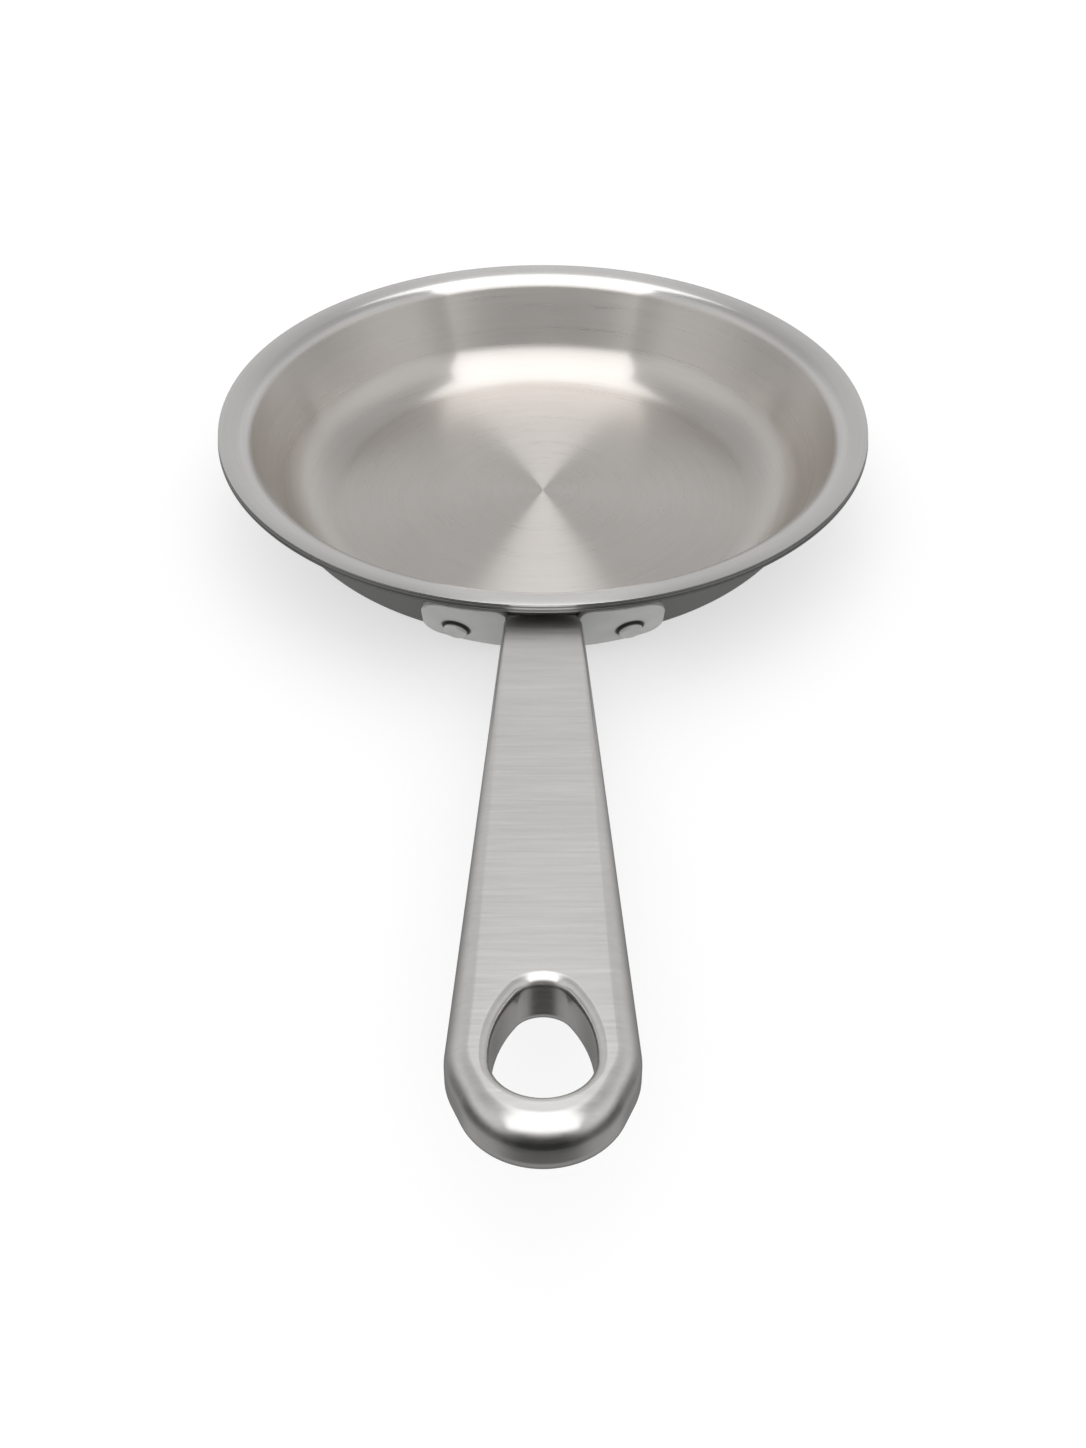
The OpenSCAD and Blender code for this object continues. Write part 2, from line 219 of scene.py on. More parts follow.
class Finish:
    """A finish: a Principled shader, and the nodes that vary it over the surface."""

    def __init__(self, name):
        self.material = bpy.data.materials.new(name)
        self.material.use_nodes = True
        self.tree = self.material.node_tree
        self.shader = self.tree.nodes["Principled BSDF"]
        self.place = self.node("ShaderNodeTexCoord", {}, {}, "Object")

    def node(self, kind, settings, values, output=0):
        """Adds a node of a kind: its settings first, then the values or links of its sockets."""
        node = self.tree.nodes.new(kind)
        for setting, value in settings.items():
            if setting == "stops":
                self.set_stops(node.color_ramp.elements, value)
            else:
                setattr(node, setting, value)
        self.feed(node, values)
        return Signal(self, node.outputs[output])

    def set_stops(self, elements, stops):
        """Gives a ramp its stops, each a place from 0 to 1 and a grey level."""
        for place, _ in stops[1:-1]:
            elements.new(place)
        for element, (place, level) in zip(elements, stops):
            element.position = place
            element.color = (level, level, level, 1)

    def feed(self, node, values):
        """Sets or links a node's sockets."""
        for name, value in values.items():
            if isinstance(value, Signal):
                self.tree.links.new(value.socket, node.inputs[name])
            else:
                node.inputs[name].default_value = value

    def shade(self, **values):
        """Sets or links the shader's sockets."""
        self.feed(self.shader, {name.replace("_", " "): value for name, value in values.items()})

    def mix(self, second, factor):
        """Shows a second shader through the first by a factor."""
        output = self.tree.nodes["Material Output"]
        first = Signal(self, self.shader.outputs[0])
        self.feed(output, {"Surface": self.node("ShaderNodeMixShader", {},
                                                {0: factor, 1: first, 2: second})})

    def axis(self, name, vector=None):
        """The X, Y or Z of a vector, or else of the place on the object."""
        return self.node("ShaderNodeSeparateXYZ", {}, {"Vector": vector or self.place}, name)

    def vector(self, operation, first, second=(0, 0, 0), output="Vector"):
        """Adds a vector sum. Its output is Value where the result is a number."""
        return self.node("ShaderNodeVectorMath", {"operation": operation},
                         {0: first, 1: second}, output)

    def point(self, x, y, z):
        """A vector of three numbers."""
        return self.node("ShaderNodeCombineXYZ", {}, {"X": x, "Y": y, "Z": z})

    def noise(self, vector, detail, scale=1):
        """Uneven tone round 0.5, with spots of about 1 divided by the scale."""
        return self.node("ShaderNodeTexNoise", {"noise_dimensions": "3D"},
                         {"Vector": vector, "Scale": scale, "Detail": detail})

    def ramp(self, value, low, high):
        """Rises smoothly from 0 to 1 while the value goes from low to high."""
        return self.node("ShaderNodeMapRange", {"interpolation_type": "SMOOTHSTEP"},
                         {"Value": value, "From Min": low, "From Max": high})

    def blend(self, factor, first, second):
        """The first colour where the factor is 0, and the second where it is 1."""
        return self.node("ShaderNodeMix", {"data_type": "RGBA"},
                         {0: factor, 6: first, 7: second}, 2)

    def bump(self, height, strength, distance):
        """A normal that follows a tone as relief, over a distance in depth."""
        return self.node("ShaderNodeBump", {},
                         {"Height": height, "Strength": strength, "Distance": distance})

    def level(self):
        """The place with its height left out."""
        return self.vector("MULTIPLY", self.place, (1, 1, 0))

    def from_axis(self):
        """Distance from the pan's axis."""
        return self.vector("LENGTH", self.level(), output="Value")

    def bearing(self):
        """The level direction of length 1 from the pan's axis to the place."""
        return self.vector("NORMALIZE", self.level())

    def round_axis(self):
        """The direction round the pan's axis, along the lines that turning leaves."""
        return self.node("ShaderNodeTangent", {"direction_type": "RADIAL", "axis": "Z"}, {})

    def turned(self, width, spread):
        """Noise in circles round the pan's axis: lines of a width, that change slowly round."""
        along = self.vector("MULTIPLY", self.bearing(), (spread, spread, spread))
        across = (self.from_axis() + self.axis("Z")) * (1 / width)
        return self.noise(self.vector("ADD", along, self.point(0, 0, across)), detail=3)


def dress(piece, finish):
    """Gives every face of a piece one finish."""
    piece.data.materials.clear()
    piece.data.materials.append(finish.material)


inner_finish = Finish("turned steel")
fine_lines = inner_finish.turned(fine_line, 2.5)
broad_lines = inner_finish.turned(broad_line, 0.8)
clouds = inner_finish.noise(inner_finish.place, detail=3, scale=cloud_scale)
inner_tone = fine_lines * 0.35 + broad_lines * 0.3 + clouds * 0.35
lip = inner_finish.ramp(inner_finish.axis("Z"), lip_finish_starts, lip_finish_full)
inner_colour = inner_finish.blend(lip, inner_finish.blend(inner_tone, inner_dark, inner_light),
                                  inner_finish.blend(inner_tone, lip_dark, lip_light))
inner_finish.shade(
    Base_Color=inner_colour,
    Metallic=1,
    Roughness=0.29 + (fine_lines - 0.5) * 0.08 + (broad_lines - 0.5) * 0.06,
    Anisotropic=1,
    Anisotropic_Rotation=quarter_turn,
    Tangent=inner_finish.round_axis(),
    Normal=inner_finish.bump(fine_lines, 0.05, line_depth),
)
polished = inner_finish.node("ShaderNodeBsdfPrincipled", {}, {
    "Base Color": inner_colour, "Metallic": 1, "Roughness": 0.15, "Anisotropic": 1,
    "Anisotropic Rotation": quarter_turn, "Tangent": inner_finish.round_axis()})
inner_finish.mix(polished, 0.4 + lip * 0.4)

inner_skin = turned_skin("inner_steel_skin", 0, inner_thickness, Vector((0, 0, 1)))
dress(inner_skin, inner_finish)
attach(inner_skin, "root")
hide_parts("inner_steel_layer")


# Aluminium layers and steel core
# Between the two steel skins lie two sheets of aluminium and a steel core, bonded all over.
# Only their cut edges show, as dull and bright lines round the rim.
cut_line = 0.6 * mm
aluminium_dark = (0.30, 0.30, 0.30, 1)
aluminium_light = (0.42, 0.42, 0.42, 1)
core_dark = (0.58, 0.58, 0.57, 1)
core_light = (0.72, 0.72, 0.71, 1)


def cut_edge(name, dark, light, roughness):
    """The bare edge of a sheet, with the fine lines of the cut round the rim."""
    finish = Finish(name)
    finish.shade(Base_Color=finish.blend(finish.turned(cut_line, 6), dark, light), Metallic=1,
                 Roughness=roughness)
    return finish


aluminium_edge = cut_edge("cut aluminium", aluminium_dark, aluminium_light, 0.5)
core_edge = cut_edge("cut steel core", core_dark, core_light, 0.38)
for node, finish in (("upper_aluminium_layer", aluminium_edge), ("core_steel_layer", core_edge),
                     ("lower_aluminium_layer", aluminium_edge)):
    dress(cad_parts[node], finish)


# Outer steel layer
# The outside of the pan and the flat underside are one skin of stainless steel, bonded to the
# lower aluminium sheet and brushed round. It is darker than the inside, and finely scuffed.
outer_thickness = 0.4 * mm
outer_line = 0.45 * mm
outer_cloud_scale = 30
outer_dark = (0.31, 0.31, 0.305, 1)
outer_light = (0.53, 0.53, 0.52, 1)

outer_finish = Finish("brushed steel")
outer_lines = outer_finish.turned(outer_line, 3)
outer_clouds = outer_finish.noise(outer_finish.place, detail=3, scale=outer_cloud_scale)
outer_finish.shade(
    Base_Color=outer_finish.blend(outer_lines * 0.6 + outer_clouds * 0.4, outer_dark, outer_light),
    Metallic=1,
    Roughness=0.34 + (outer_lines - 0.5) * 0.12,
    Anisotropic=0.7,
    Anisotropic_Rotation=quarter_turn,
    Tangent=outer_finish.round_axis(),
    Normal=outer_finish.bump(outer_lines, 0.15, line_depth),
)

outer_skin = turned_skin("outer_steel_skin", wall_thickness, outer_thickness, Vector((0, 0, -1)))
dress(outer_skin, outer_finish)
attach(outer_skin, "root")
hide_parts("outer_steel_layer")


# Handle bracket
# A curved plate of 2 mm stainless steel with two ears, blasted matt. It lies on the outside of
# the wall under the lip, and two rivets hold it there.
bracket_thickness = 2 * mm
bracket_half_width = 34.3 * mm
bracket_height = 21 * mm
bracket_below_bend = 3.9 * mm
ear_drop = 2 * mm
ear_upper_radius = 8 * mm
ear_lower_radius = 5 * mm
dip_half_width = 10 * mm
dip_depth = 4.2 * mm
dip_corner_radius = 3.6 * mm
bracket_edge = 0.35 * mm
bracket_edge_segments = 3
bracket_cut_angle = math.radians(60)
crease_angle = math.radians(50)
ear_upper_steps = 16
ear_lower_steps = 10
dip_corner_steps = 12
bracket_strip = 1.5 * mm
strip_merge_distance = 0.15 * mm
half_merge_distance = 0.01 * mm
former_reach = 40 * mm
former_segments = 1440
rivet_below_bend = 16.6 * mm
rivet_across = 23.5 * mm

blast_grain_scale = 2500
blast_cloud_scale = 120
blast_depth = 0.03 * mm
# Painted shadow: a near-black ring on each ear round the rivet's shank, standing in for the contact
# shadow there, fading out over a width.
painted_shade_radius = 3.9 * mm
painted_shade_fade = 0.8 * mm
bracket_dark = (0.58, 0.58, 0.57, 1)
bracket_light = (0.76, 0.76, 0.75, 1)
painted_shade_dark = (0.07, 0.07, 0.07, 1)


def on_wall(below_bend, turn):
    """A place on the wall's inner face, at a distance below the lip's bend, with Z outwards."""
    end = wall_end(0)
    return (Matrix.Rotation(turn, 4, "Z")
            @ Matrix.Translation((0, below_bend * math.cos(wall_angle) - end.x,
                                  end.y - below_bend * math.sin(wall_angle)))
            @ Matrix.Rotation(math.pi - wall_angle, 4, "X"))


def rivet_place(side):
    """Where a rivet goes through the wall and the ear, on the left (-1) or the right (1)."""
    reach = wall_end(0).x - rivet_below_bend * math.cos(wall_angle)
    return on_wall(rivet_below_bend, side * math.asin(rivet_across / reach))


def settle(piece, place):
    """Puts a piece at its place and settles that into its mesh."""
    bpy.ops.object.mode_set(mode="OBJECT")
    piece.matrix_world = place
    bpy.ops.object.transform_apply(location=True, rotation=True, scale=True)


def select_where(piece, kind, test):
    """Selects the faces or edges whose corners all pass a test on their place."""
    bpy.ops.object.mode_set(mode="EDIT")
    bpy.ops.mesh.select_mode(type=kind)
    bpy.ops.mesh.select_all(action="DESELECT")
    mesh = bmesh.from_edit_mesh(piece.data)
    for part in (mesh.edges if kind == "EDGE" else mesh.faces):
        if all(test(vertex.co) for vertex in part.verts):
            part.select = True
    mesh.select_flush_mode()
    bmesh.update_edit_mesh(piece.data)


def extrude(x, y, z):
    """Draws the selection out along a vector."""
    bpy.ops.mesh.extrude_region_move(TRANSFORM_OT_translate={"value": (x, y, z)})


def arc(centre, radius, start, end, steps):
    """Points along an arc, between two bearings in degrees from the X axis."""
    bearings = [math.radians(start + (end - start) * step / steps) for step in range(steps + 1)]
    return [Vector((centre[0] + radius * math.cos(bearing),
                    centre[1] + radius * math.sin(bearing), 0)) for bearing in bearings]


def half_plate(name, points):
    """A flat face: a point drawn on along the right half of an outline, filled and mirrored."""
    deselect()
    bpy.ops.mesh.primitive_plane_add(size=mm, location=points[0])
    plate = begin(name)
    bpy.ops.mesh.merge(type="CENTER")
    for here, there in zip(points, points[1:]):
        bpy.ops.mesh.extrude_vertices_move(TRANSFORM_OT_translate={"value": there - here})
    mesh = bmesh.from_edit_mesh(plate.data)
    mesh.verts.ensure_lookup_table()
    mesh.verts[0].select = True
    bpy.ops.mesh.edge_face_add()
    bpy.ops.mesh.select_all(action="SELECT")
    bpy.ops.mesh.edge_face_add()
    apply_modifier(plate, "MIRROR", use_axis=(True, False, False),
                   merge_threshold=half_merge_distance)
    return plate


def cut_strips(width, reach, along):
    """Cuts the piece being edited across, at even distances to both sides of the origin."""
    for strip in range(-round(reach / width), round(reach / width) + 1):
        bpy.ops.mesh.select_all(action="SELECT")
        bpy.ops.mesh.bisect(plane_co=strip * width * along, plane_no=along)


def smooth_metal(piece, angle):
    """Smooth shading that leaves flat faces flat, with crisp edges beyond an angle."""
    bpy.ops.object.mode_set(mode="OBJECT")
    bpy.ops.object.shade_smooth_by_angle(angle=angle)
    apply_modifier(piece, "WEIGHTED_NORMAL", keep_sharp=True)


shoulder = (dip_half_width + dip_corner_radius, -dip_corner_radius)
upper_corner = (bracket_half_width - ear_upper_radius, -ear_drop - ear_upper_radius)
lower_corner = (bracket_half_width - ear_lower_radius, ear_lower_radius - bracket_height)
top_slope = math.degrees(math.atan2(ear_drop, upper_corner[0] - shoulder[0]))
bracket = half_plate("bracket", (
    [Vector((0, -bracket_height, 0))]
    + arc(lower_corner, ear_lower_radius, -90, 0, ear_lower_steps)
    + arc(upper_corner, ear_upper_radius, 0, 90 - top_slope, ear_upper_steps)
    + arc(shoulder, dip_corner_radius, 90 - top_slope, 180, dip_corner_steps)
    + [Vector((dip_half_width, -dip_depth, 0)), Vector((0, -dip_depth, 0))]
))
bpy.ops.object.mode_set(mode="EDIT")
cut_strips(bracket_strip, bracket_half_width, Vector((1, 0, 0)))
cut_strips(bracket_strip, bracket_height, Vector((0, 1, 0)))
bpy.ops.mesh.select_all(action="SELECT")
bpy.ops.mesh.remove_doubles(threshold=strip_merge_distance)
face_along(bracket, Vector((0, 0, 1)))

deselect()
former_middle = wall_end(wall_thickness + bracket_thickness)
bpy.ops.mesh.primitive_cone_add(
    vertices=former_segments, depth=2 * former_reach, end_fill_type="NOTHING",
    radius1=former_middle.x - former_reach / math.tan(wall_angle),
    radius2=former_middle.x + former_reach / math.tan(wall_angle),
    location=(0, 0, former_middle.y))
former = bpy.context.object
deselect()
bracket.select_set(True)
bpy.context.view_layer.objects.active = bracket
bracket.matrix_world = on_wall(bracket_below_bend, 0)
bpy.context.view_layer.update()
apply_modifier(bracket, "SHRINKWRAP", target=former, wrap_method="PROJECT", use_project_z=True,
               use_positive_direction=True, use_negative_direction=True)
settle(bracket, bracket.matrix_world.copy())
bpy.data.objects.remove(former)
apply_modifier(bracket, "SOLIDIFY", thickness=bracket_thickness, offset=-1, use_even_offset=True)
apply_modifier(bracket, "BEVEL", width=bracket_edge, segments=bracket_edge_segments,
               limit_method="ANGLE", angle_limit=bracket_cut_angle, use_clamp_overlap=False)
smooth_metal(bracket, crease_angle)

bracket_finish = Finish("blasted steel")
bracket_grain = bracket_finish.noise(bracket_finish.place, detail=2, scale=blast_grain_scale)
bracket_clouds = bracket_finish.noise(bracket_finish.place, detail=3, scale=blast_cloud_scale)
rivet_seat = rivet_place(1) @ Vector((0, 0, wall_thickness + bracket_thickness))
from_rivet = bracket_finish.vector(
    "DISTANCE", bracket_finish.vector("ABSOLUTE", bracket_finish.place),
    tuple(abs(distance) for distance in rivet_seat), "Value")
# The ear's colour is painted near-black within a radius of the rivet's axis and fades to its own
# tone there: a painted shadow round the shank.
off_painted_shade = bracket_finish.ramp(from_rivet, painted_shade_radius, painted_shade_radius + painted_shade_fade)
bracket_finish.shade(
    Base_Color=bracket_finish.blend(
        off_painted_shade, painted_shade_dark, bracket_finish.blend(bracket_clouds, bracket_dark, bracket_light)),
    Metallic=0.55,
    Roughness=0.48 + (bracket_clouds - 0.5) * 0.2,
    Normal=bracket_finish.bump(bracket_grain, 0.25, blast_depth),
)
dress(bracket, bracket_finish)
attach(bracket, "root")
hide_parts("handle_bracket")


# Rivets
# Two stainless rivets through the ears and the wall, with a low round head inside the pan and
# the flat end of the shank standing out of each ear.
shank_radius = 3.4 * mm
shank_out = 1.7 * mm
shank_bevel = 0.4 * mm
head_radius = 6 * mm
head_height = 1.8 * mm
head_rim = 0.8 * mm
head_edge = 0.25 * mm
rivet_segments = 64
shank_bevel_segments = 4
head_edge_segments = 3
dome_rings = 8
dome_top_share = 0.01
rivet_crease_angle = math.radians(40)

rivet_cloud_scale = 400
# Painted shade: the shank's side is painted near-black near the ear, for the shade at its foot, and
# the flat end stays light. These are depths from the wall's inner face.
foot_shade_starts = 1 * mm
foot_shade_full = 2 * mm
foot_shade_fades = 4.7 * mm
foot_shade_ends = 5.4 * mm
rivet_dark = (0.72, 0.72, 0.71, 1)
rivet_light = (0.90, 0.90, 0.89, 1)

rivet_finish = Finish("pressed steel")
rivet_clouds = rivet_finish.noise(rivet_finish.place, detail=2, scale=rivet_cloud_scale)
rivet_depth = ((rivet_finish.from_axis() - wall_end(0).x) * math.sin(wall_angle)
               - (rivet_finish.axis("Z") - wall_end(0).y) * math.cos(wall_angle))
# Painted shade on the shank where it stands out of the ear, in the same near-black as the painted
# shadow on the ear.
foot_painted_shade = (rivet_finish.ramp(rivet_depth, foot_shade_starts, foot_shade_full)
              - rivet_finish.ramp(rivet_depth, foot_shade_fades, foot_shade_ends))
rivet_finish.shade(
    Base_Color=rivet_finish.blend(
        foot_painted_shade, rivet_finish.blend(rivet_clouds, rivet_dark, rivet_light), painted_shade_dark),
    Metallic=0.7,
    Roughness=0.42 + (rivet_clouds - 0.5) * 0.2,
)


def rivet(name, node, side):
    """One rivet: a round bar with a bevelled end, and its head drawn in, ring by ring."""
    end = wall_thickness + bracket_thickness + shank_out
    deselect()
    bpy.ops.mesh.primitive_cylinder_add(vertices=rivet_segments, radius=shank_radius, depth=end,
                                        location=(0, 0, end / 2))
    piece = begin(name)
    select_where(piece, "EDGE", lambda place: place.z > end - edge_softness)
    bpy.ops.mesh.bevel(offset=shank_bevel, segments=shank_bevel_segments, affect="EDGES")
    select_where(piece, "FACE", lambda place: place.z < edge_softness)
    extrude(0, 0, 0)
    grow = head_radius / shank_radius
    bpy.ops.transform.resize(value=(grow, grow, 1), center_override=(0, 0, 0))
    extrude(0, 0, -head_rim)
    dome = head_height - head_rim
    dome_radius = (head_radius ** 2 + dome ** 2) / (2 * dome)
    spread = math.asin(head_radius / dome_radius)
    rings = [spread * ring / dome_rings for ring in range(dome_rings, 0, -1)]
    rings.append(spread * dome_top_share)
    for here, there in zip(rings, rings[1:]):
        grow = math.sin(there) / math.sin(here)
        extrude(0, 0, dome_radius * (math.cos(here) - math.cos(there)))
        bpy.ops.transform.resize(value=(grow, grow, 1), center_override=(0, 0, 0))
    select_where(piece, "EDGE", lambda place: abs(place.z + head_rim) < edge_softness / 2)
    bpy.ops.mesh.bevel(offset=head_edge, segments=head_edge_segments, affect="EDGES")
    settle(piece, rivet_place(side))
    smooth_metal(piece, rivet_crease_angle)
    dress(piece, rivet_finish)
    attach(piece, "root")
    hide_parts(node)


rivet("left_rivet", "rivet_left", -1)
rivet("right_rivet", "rivet_right", 1)


# Handle shells
# The handle is hollow: an upper and a lower shell of pressed stainless steel, welded along the
# middle of their sides and ground flush, then brushed across. The lower shell has the deep
# root that is welded to the bracket.
handle_length = 184.3 * mm
handle_thickness = 10.5 * mm
handle_rise = math.radians(12.5)
neck_end = Vector((0, -96.65 * mm, 26.9 * mm))
nose_arch_radius = 26 * mm
neck_corner_radius = 4.4 * mm
neck_half_width = 10.6 * mm
widest_radius = 16.85 * mm
widest_from_tip = 19.7 * mm
tip_radius = 14.95 * mm
neck_edge_radius = 1.1 * mm
upper_edge_radius = 4.4 * mm
lower_edge_radius = 3.5 * mm
hole_from_tip = 8.4 * mm
hole_length = 27.8 * mm
hole_wide_radius = 8.85 * mm
hole_narrow_radius = 5.4 * mm
hole_side_radius = 28 * mm
hole_edge_radius = 2.1 * mm
hole_margin = 1 * mm
edge_segments = 12
tip_steps = 28
widest_steps = 8
side_steps = 20
neck_steps = 12
hole_steps = 12
hole_wide_steps = 22

brush_scale = (60, 1500, 1500)
broad_brush_scale = (30, 260, 260)
handle_cloud_scale = 45
handle_dark = (0.59, 0.577, 0.563, 1)
handle_light = (0.87, 0.853, 0.835, 1)

on_handle = Matrix.Translation(neck_end) @ Matrix.Rotation(-handle_rise, 4, "X")
tip_centre = Vector((0, tip_radius - handle_length))
widest_centre = Vector((0, widest_from_tip - handle_length))
corner_across = neck_half_width - neck_corner_radius
arch_reach = nose_arch_radius - neck_corner_radius
arch_bearing = math.degrees(math.acos(corner_across / arch_reach))
neck_corner = Vector((corner_across,
                      math.sqrt(arch_reach ** 2 - corner_across ** 2) - nose_arch_radius))
hole_wide_centre = Vector((0, hole_from_tip + hole_wide_radius - handle_length))
hole_narrow_centre = Vector((0, hole_from_tip + hole_length - hole_narrow_radius - handle_length))
hole_near_end = hole_wide_centre.y - hole_wide_radius
hole_far_end = hole_narrow_centre.y + hole_narrow_radius


def tangent(first_centre, first_radius, next_centre, next_radius):
    """The bearing, in degrees, at which one straight line touches the right of two circles."""
    step = next_centre - first_centre
    lean = math.acos((first_radius - next_radius) / step.length)
    return math.degrees(math.atan2(step.y, step.x) - lean)


def run(start, end, steps):
    """Points between two points, on the straight line that joins them."""
    return [start.lerp(end, step / steps) for step in range(1, steps)]


tip_bearing = tangent(tip_centre, tip_radius, widest_centre, widest_radius)
side_bearing = tangent(widest_centre, widest_radius, neck_corner, neck_corner_radius)
hole_gap = hole_narrow_centre.y - hole_wide_centre.y
wide_reach = hole_side_radius - hole_wide_radius
narrow_reach = hole_side_radius - hole_narrow_radius
side_back = (narrow_reach ** 2 - wide_reach ** 2 + hole_gap ** 2) / (2 * hole_gap)
hole_side_centre = Vector((-math.sqrt(narrow_reach ** 2 - side_back ** 2),
                           hole_narrow_centre.y - side_back))
narrow_bearing = math.degrees(math.asin(side_back / narrow_reach))
wide_bearing = math.degrees(math.asin((side_back - hole_gap) / wide_reach))
widest_arc = arc(widest_centre, widest_radius, tip_bearing, side_bearing, widest_steps)
corner_arc = arc(neck_corner, neck_corner_radius, side_bearing, arch_bearing, neck_steps)
handle_outline = (
    arc(tip_centre, tip_radius, -90, tip_bearing, tip_steps)
    + widest_arc + run(widest_arc[-1], corner_arc[0], side_steps) + corner_arc
    + arc((0, -nose_arch_radius), nose_arch_radius, arch_bearing, 90, neck_steps)[1:]
    + arc(hole_narrow_centre, hole_narrow_radius, 90, narrow_bearing, hole_steps)
    + arc(hole_side_centre, hole_side_radius, narrow_bearing, wide_bearing, hole_steps)[1:]
    + arc(hole_wide_centre, hole_wide_radius, wide_bearing, -90, hole_wide_steps)[1:]
)


def roll_radius(place, end_radius):
    """Radius of the rolled edge at a place on the handle's outline: it grows along the sides."""
    beside_hole = abs(place.x) < hole_wide_radius + hole_margin
    if beside_hole and hole_near_end - hole_margin < place.y < hole_far_end + hole_margin:
        return hole_edge_radius
    step = (corner_arc[0].y - widest_arc[-1].y) / side_steps
    share = (corner_arc[0].y - step - place.y) / ((side_steps - 2) * step)
    return neck_edge_radius + min(1, max(0, share)) * (end_radius - neck_edge_radius)


def pressed_shell(name, way, end_radius):
    """Half of the handle, above or below its middle plane, with its edges rolled over."""
    middle = -handle_thickness / 2
    face = middle + way * handle_thickness / 2
    shell = half_plate(name, [point + Vector((0, 0, middle)) for point in handle_outline])
    bpy.ops.object.mode_set(mode="EDIT")
    bpy.ops.mesh.select_all(action="SELECT")
    extrude(0, 0, face - middle)
    bpy.ops.mesh.select_all(action="SELECT")
    bpy.ops.mesh.normals_make_consistent(inside=False)
    bpy.ops.object.mode_set(mode="OBJECT")
    weights = shell.data.attributes.new("bevel_weight_edge", "FLOAT", "EDGE")
    for edge, weight in zip(shell.data.edges, weights.data):
        start, end = (shell.data.vertices[corner].co for corner in edge.vertices)
        on_face = abs(start.z - face) + abs(end.z - face) < edge_softness
        on_middle_line = abs(start.x) + abs(end.x) < edge_softness
        if on_face and not on_middle_line:
            weight.value = roll_radius((start + end) / 2, end_radius) / end_radius
    apply_modifier(shell, "BEVEL", width=end_radius, segments=edge_segments,
                   limit_method="WEIGHT", use_clamp_overlap=False)
    return shell


def finish_shell(shell, node):
    """Puts a shell on the pan and gives it its finish."""
    settle(shell, on_handle)
    smooth_metal(shell, crease_angle)
    dress(shell, handle_finish)
    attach(shell, "root")
    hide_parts(node)


handle_finish = Finish("cross-brushed steel")
brush_lines = handle_finish.noise(
    handle_finish.vector("MULTIPLY", handle_finish.place, brush_scale), detail=3)
broad_brush = handle_finish.noise(
    handle_finish.vector("MULTIPLY", handle_finish.place, broad_brush_scale), detail=2)
handle_clouds = handle_finish.noise(handle_finish.place, detail=2, scale=handle_cloud_scale)
handle_tone = brush_lines * 0.4 + broad_brush * 0.35 + handle_clouds * 0.25
handle_finish.shade(
    Base_Color=handle_finish.blend(handle_tone, handle_dark, handle_light),
    Metallic=1,
    Roughness=0.24 + (brush_lines - 0.5) * 0.08,
    Anisotropic=0.8,
    Anisotropic_Rotation=quarter_turn,
    Tangent=handle_finish.point(1, 0, 0),
    Normal=handle_finish.bump(brush_lines, 0.15, line_depth),
)

upper_shell = pressed_shell("upper_handle_shell", 1, upper_edge_radius)
finish_shell(upper_shell, "handle_upper_shell")

root_depth = 18 * mm
root_length = 42 * mm
root_end_radius = 11.05 * mm
root_near_half_width = 9.7 * mm
root_near_end = 18 * mm
root_edge_radius = 3.4 * mm
root_edge_segments = 8
root_steps = 16
root_fade = 1 * mm
root_deepest = Vector((0, 12.1 * mm, -root_depth))
root_shallowest = Vector((0, -root_length - root_end_radius + root_edge_radius,
                          root_fade - handle_thickness))
root_slope = root_shallowest - root_deepest
under_root = Vector((0, root_slope.z, -root_slope.y)).normalized()

lower_shell = pressed_shell("lower_handle_shell", -1, lower_edge_radius)
root = half_plate("root", (
    [Vector((0, root_near_end, -handle_thickness / 2)),
     Vector((root_near_half_width, root_near_end, -handle_thickness / 2))]
    + [point - Vector((0, 0, handle_thickness / 2))
       for point in arc((0, -root_length), root_end_radius, 0, -90, root_steps)]
))
bpy.ops.object.mode_set(mode="EDIT")
bpy.ops.mesh.select_all(action="SELECT")
extrude(0, 0, -root_depth)
bpy.ops.mesh.select_all(action="SELECT")
bpy.ops.mesh.normals_make_consistent(inside=False)
bpy.ops.mesh.bisect(plane_co=root_deepest, plane_no=under_root, use_fill=True, clear_inner=True)
select_where(root, "EDGE",
             lambda place: abs((place - root_deepest).dot(under_root)) < edge_softness)
bpy.ops.mesh.bevel(offset=root_edge_radius, segments=root_edge_segments, affect="EDGES")
on_wall_seen_from_handle = on_handle.inverted() @ on_wall(bracket_below_bend, 0)
bpy.ops.mesh.select_all(action="SELECT")
bpy.ops.mesh.bisect(
    plane_co=on_wall_seen_from_handle @ Vector((0, 0, wall_thickness + bracket_thickness / 2)),
    plane_no=on_wall_seen_from_handle.to_3x3() @ Vector((0, 0, 1)),
    use_fill=True, clear_inner=True)
deselect()
lower_shell.select_set(True)
bpy.context.view_layer.objects.active = lower_shell
apply_modifier(lower_shell, "BOOLEAN", object=root, operation="UNION", solver="MANIFOLD")
bpy.data.objects.remove(root)
finish_shell(lower_shell, "handle_lower_shell")


# Floor and light
# A plain white floor, one soft light of cloth overhead that narrows away from the camera, and a
# studio that the metal mirrors: light behind the pan, darker low at its sides, and dark where
# the camera stands. The camera sees it white, and it lights the room as a white one does.
floor_size = 6
floor_grey = (0.38, 0.38, 0.38, 1)
floor_glow = 0.6
panel_height = 1
panel_edge = [(1.05, -1.15), (0.85, -0.84), (0.27, 0.19), (0.19, 0.53), (0.05, 0.95)]
panel_glow = 1.65
black = (0, 0, 0, 1)
white = (1, 1, 1, 1)

deselect()
bpy.ops.mesh.primitive_plane_add(size=floor_size)
floor = begin("floor")
bpy.ops.object.mode_set(mode="OBJECT")
floor_finish = Finish("white floor")
floor_finish.shade(
    Base_Color=floor_grey,
    Roughness=0.9,
    Specular_IOR_Level=0.1,
    Emission_Color=white,
    Emission_Strength=floor_glow,
)
dress(floor, floor_finish)
floor.visible_glossy = False

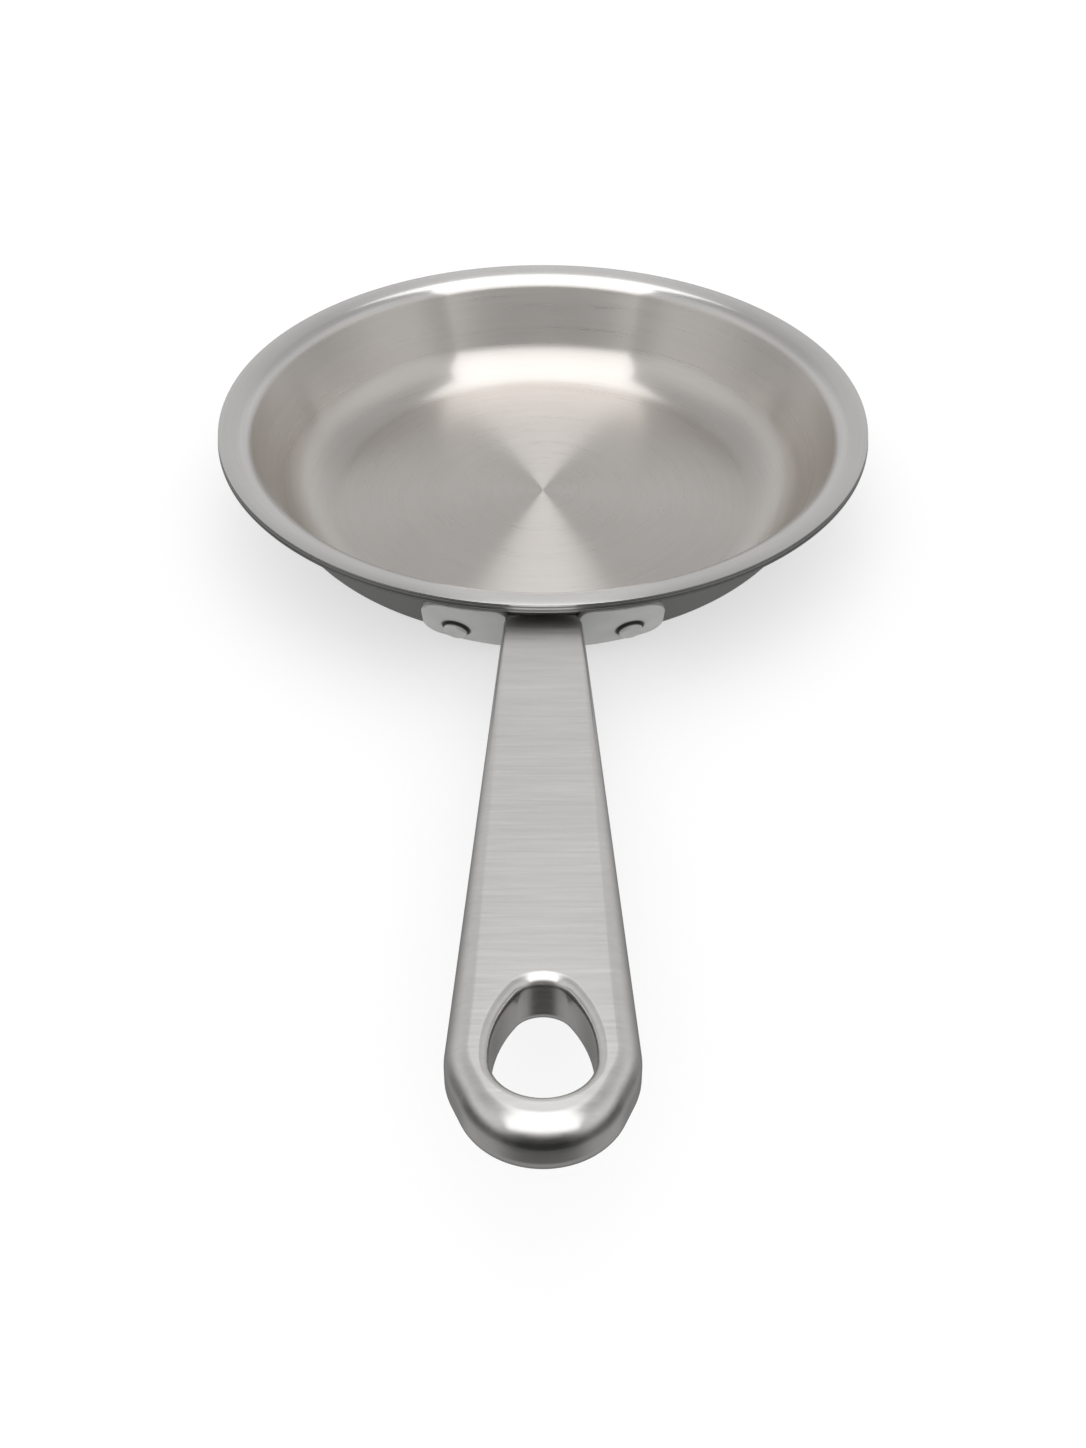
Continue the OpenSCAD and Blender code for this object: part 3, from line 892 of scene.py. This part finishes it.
panel = half_plate("light panel", (
    [Vector((0, panel_edge[0][1], panel_height))]
    + [Vector((across, along, panel_height)) for across, along in panel_edge]
    + [Vector((0, panel_edge[-1][1], panel_height))]
))
panel_finish = Finish("light cloth")
panel_finish.shade(
    Base_Color=black,
    Specular_IOR_Level=0,
    Emission_Color=white,
    Emission_Strength=panel_glow,
)
dress(panel, panel_finish)
panel.visible_camera = False


class Studio(Finish):
    """The studio round the pan: its brightness in each direction, on the world's background."""

    def __init__(self, name):
        self.world = bpy.data.worlds.new(name)
        self.world.use_nodes = True
        self.tree = self.world.node_tree
        self.shader = self.tree.nodes["Background"]
        self.place = self.node("ShaderNodeTexCoord", {}, {}, "Generated")

    def by_elevation(self, levels):
        """Brightness that follows elevations in degrees, for the direction looked in."""
        stops = [(math.sin(math.radians(elevation)) / 2 + 0.5, level) for elevation, level in levels]
        return self.node("ShaderNodeValToRGB", {"stops": stops}, {0: self.axis("Z") * 0.5 + 0.5})


studio = Studio("studio")
behind_pan = studio.by_elevation([(-90, 0.18), (-50, 0.2), (-20, 0.38), (0, 0.55), (12, 0.66),
                                  (25, 0.68), (40, 0.47), (55, 0.42), (70, 0.38), (90, 0.38)])
beside_pan = studio.by_elevation([(-90, 0.18), (-50, 0.45), (-20, 0.12), (0, 0.1), (12, 0.38),
                                  (25, 0.74), (40, 0.74), (55, 0.66), (70, 0.48), (90, 0.38)])
before_pan = studio.by_elevation([(-90, 0.18), (-60, 0.42), (-42, 0.28), (-33, 0.01), (0, 0),
                                  (12, 0.01), (25, 0.04), (40, 0.14), (60, 0.36), (90, 0.38)])
ahead = studio.axis("Y", studio.bearing())
mirrored = studio.blend(studio.ramp(ahead * -1, 0.5, 0.95), beside_pan, before_pan)
mirrored = studio.blend(studio.ramp(ahead, 0, 0.8), mirrored, behind_pan)
is_diffuse = studio.node("ShaderNodeLightPath", {}, {}, "Is Diffuse Ray")
is_seen = studio.node("ShaderNodeLightPath", {}, {}, "Is Camera Ray")
studio.shade(Color=studio.blend(is_diffuse + is_seen, mirrored, white))
bpy.context.scene.world = studio.world
bpy.context.scene.view_settings.view_transform = "Standard"
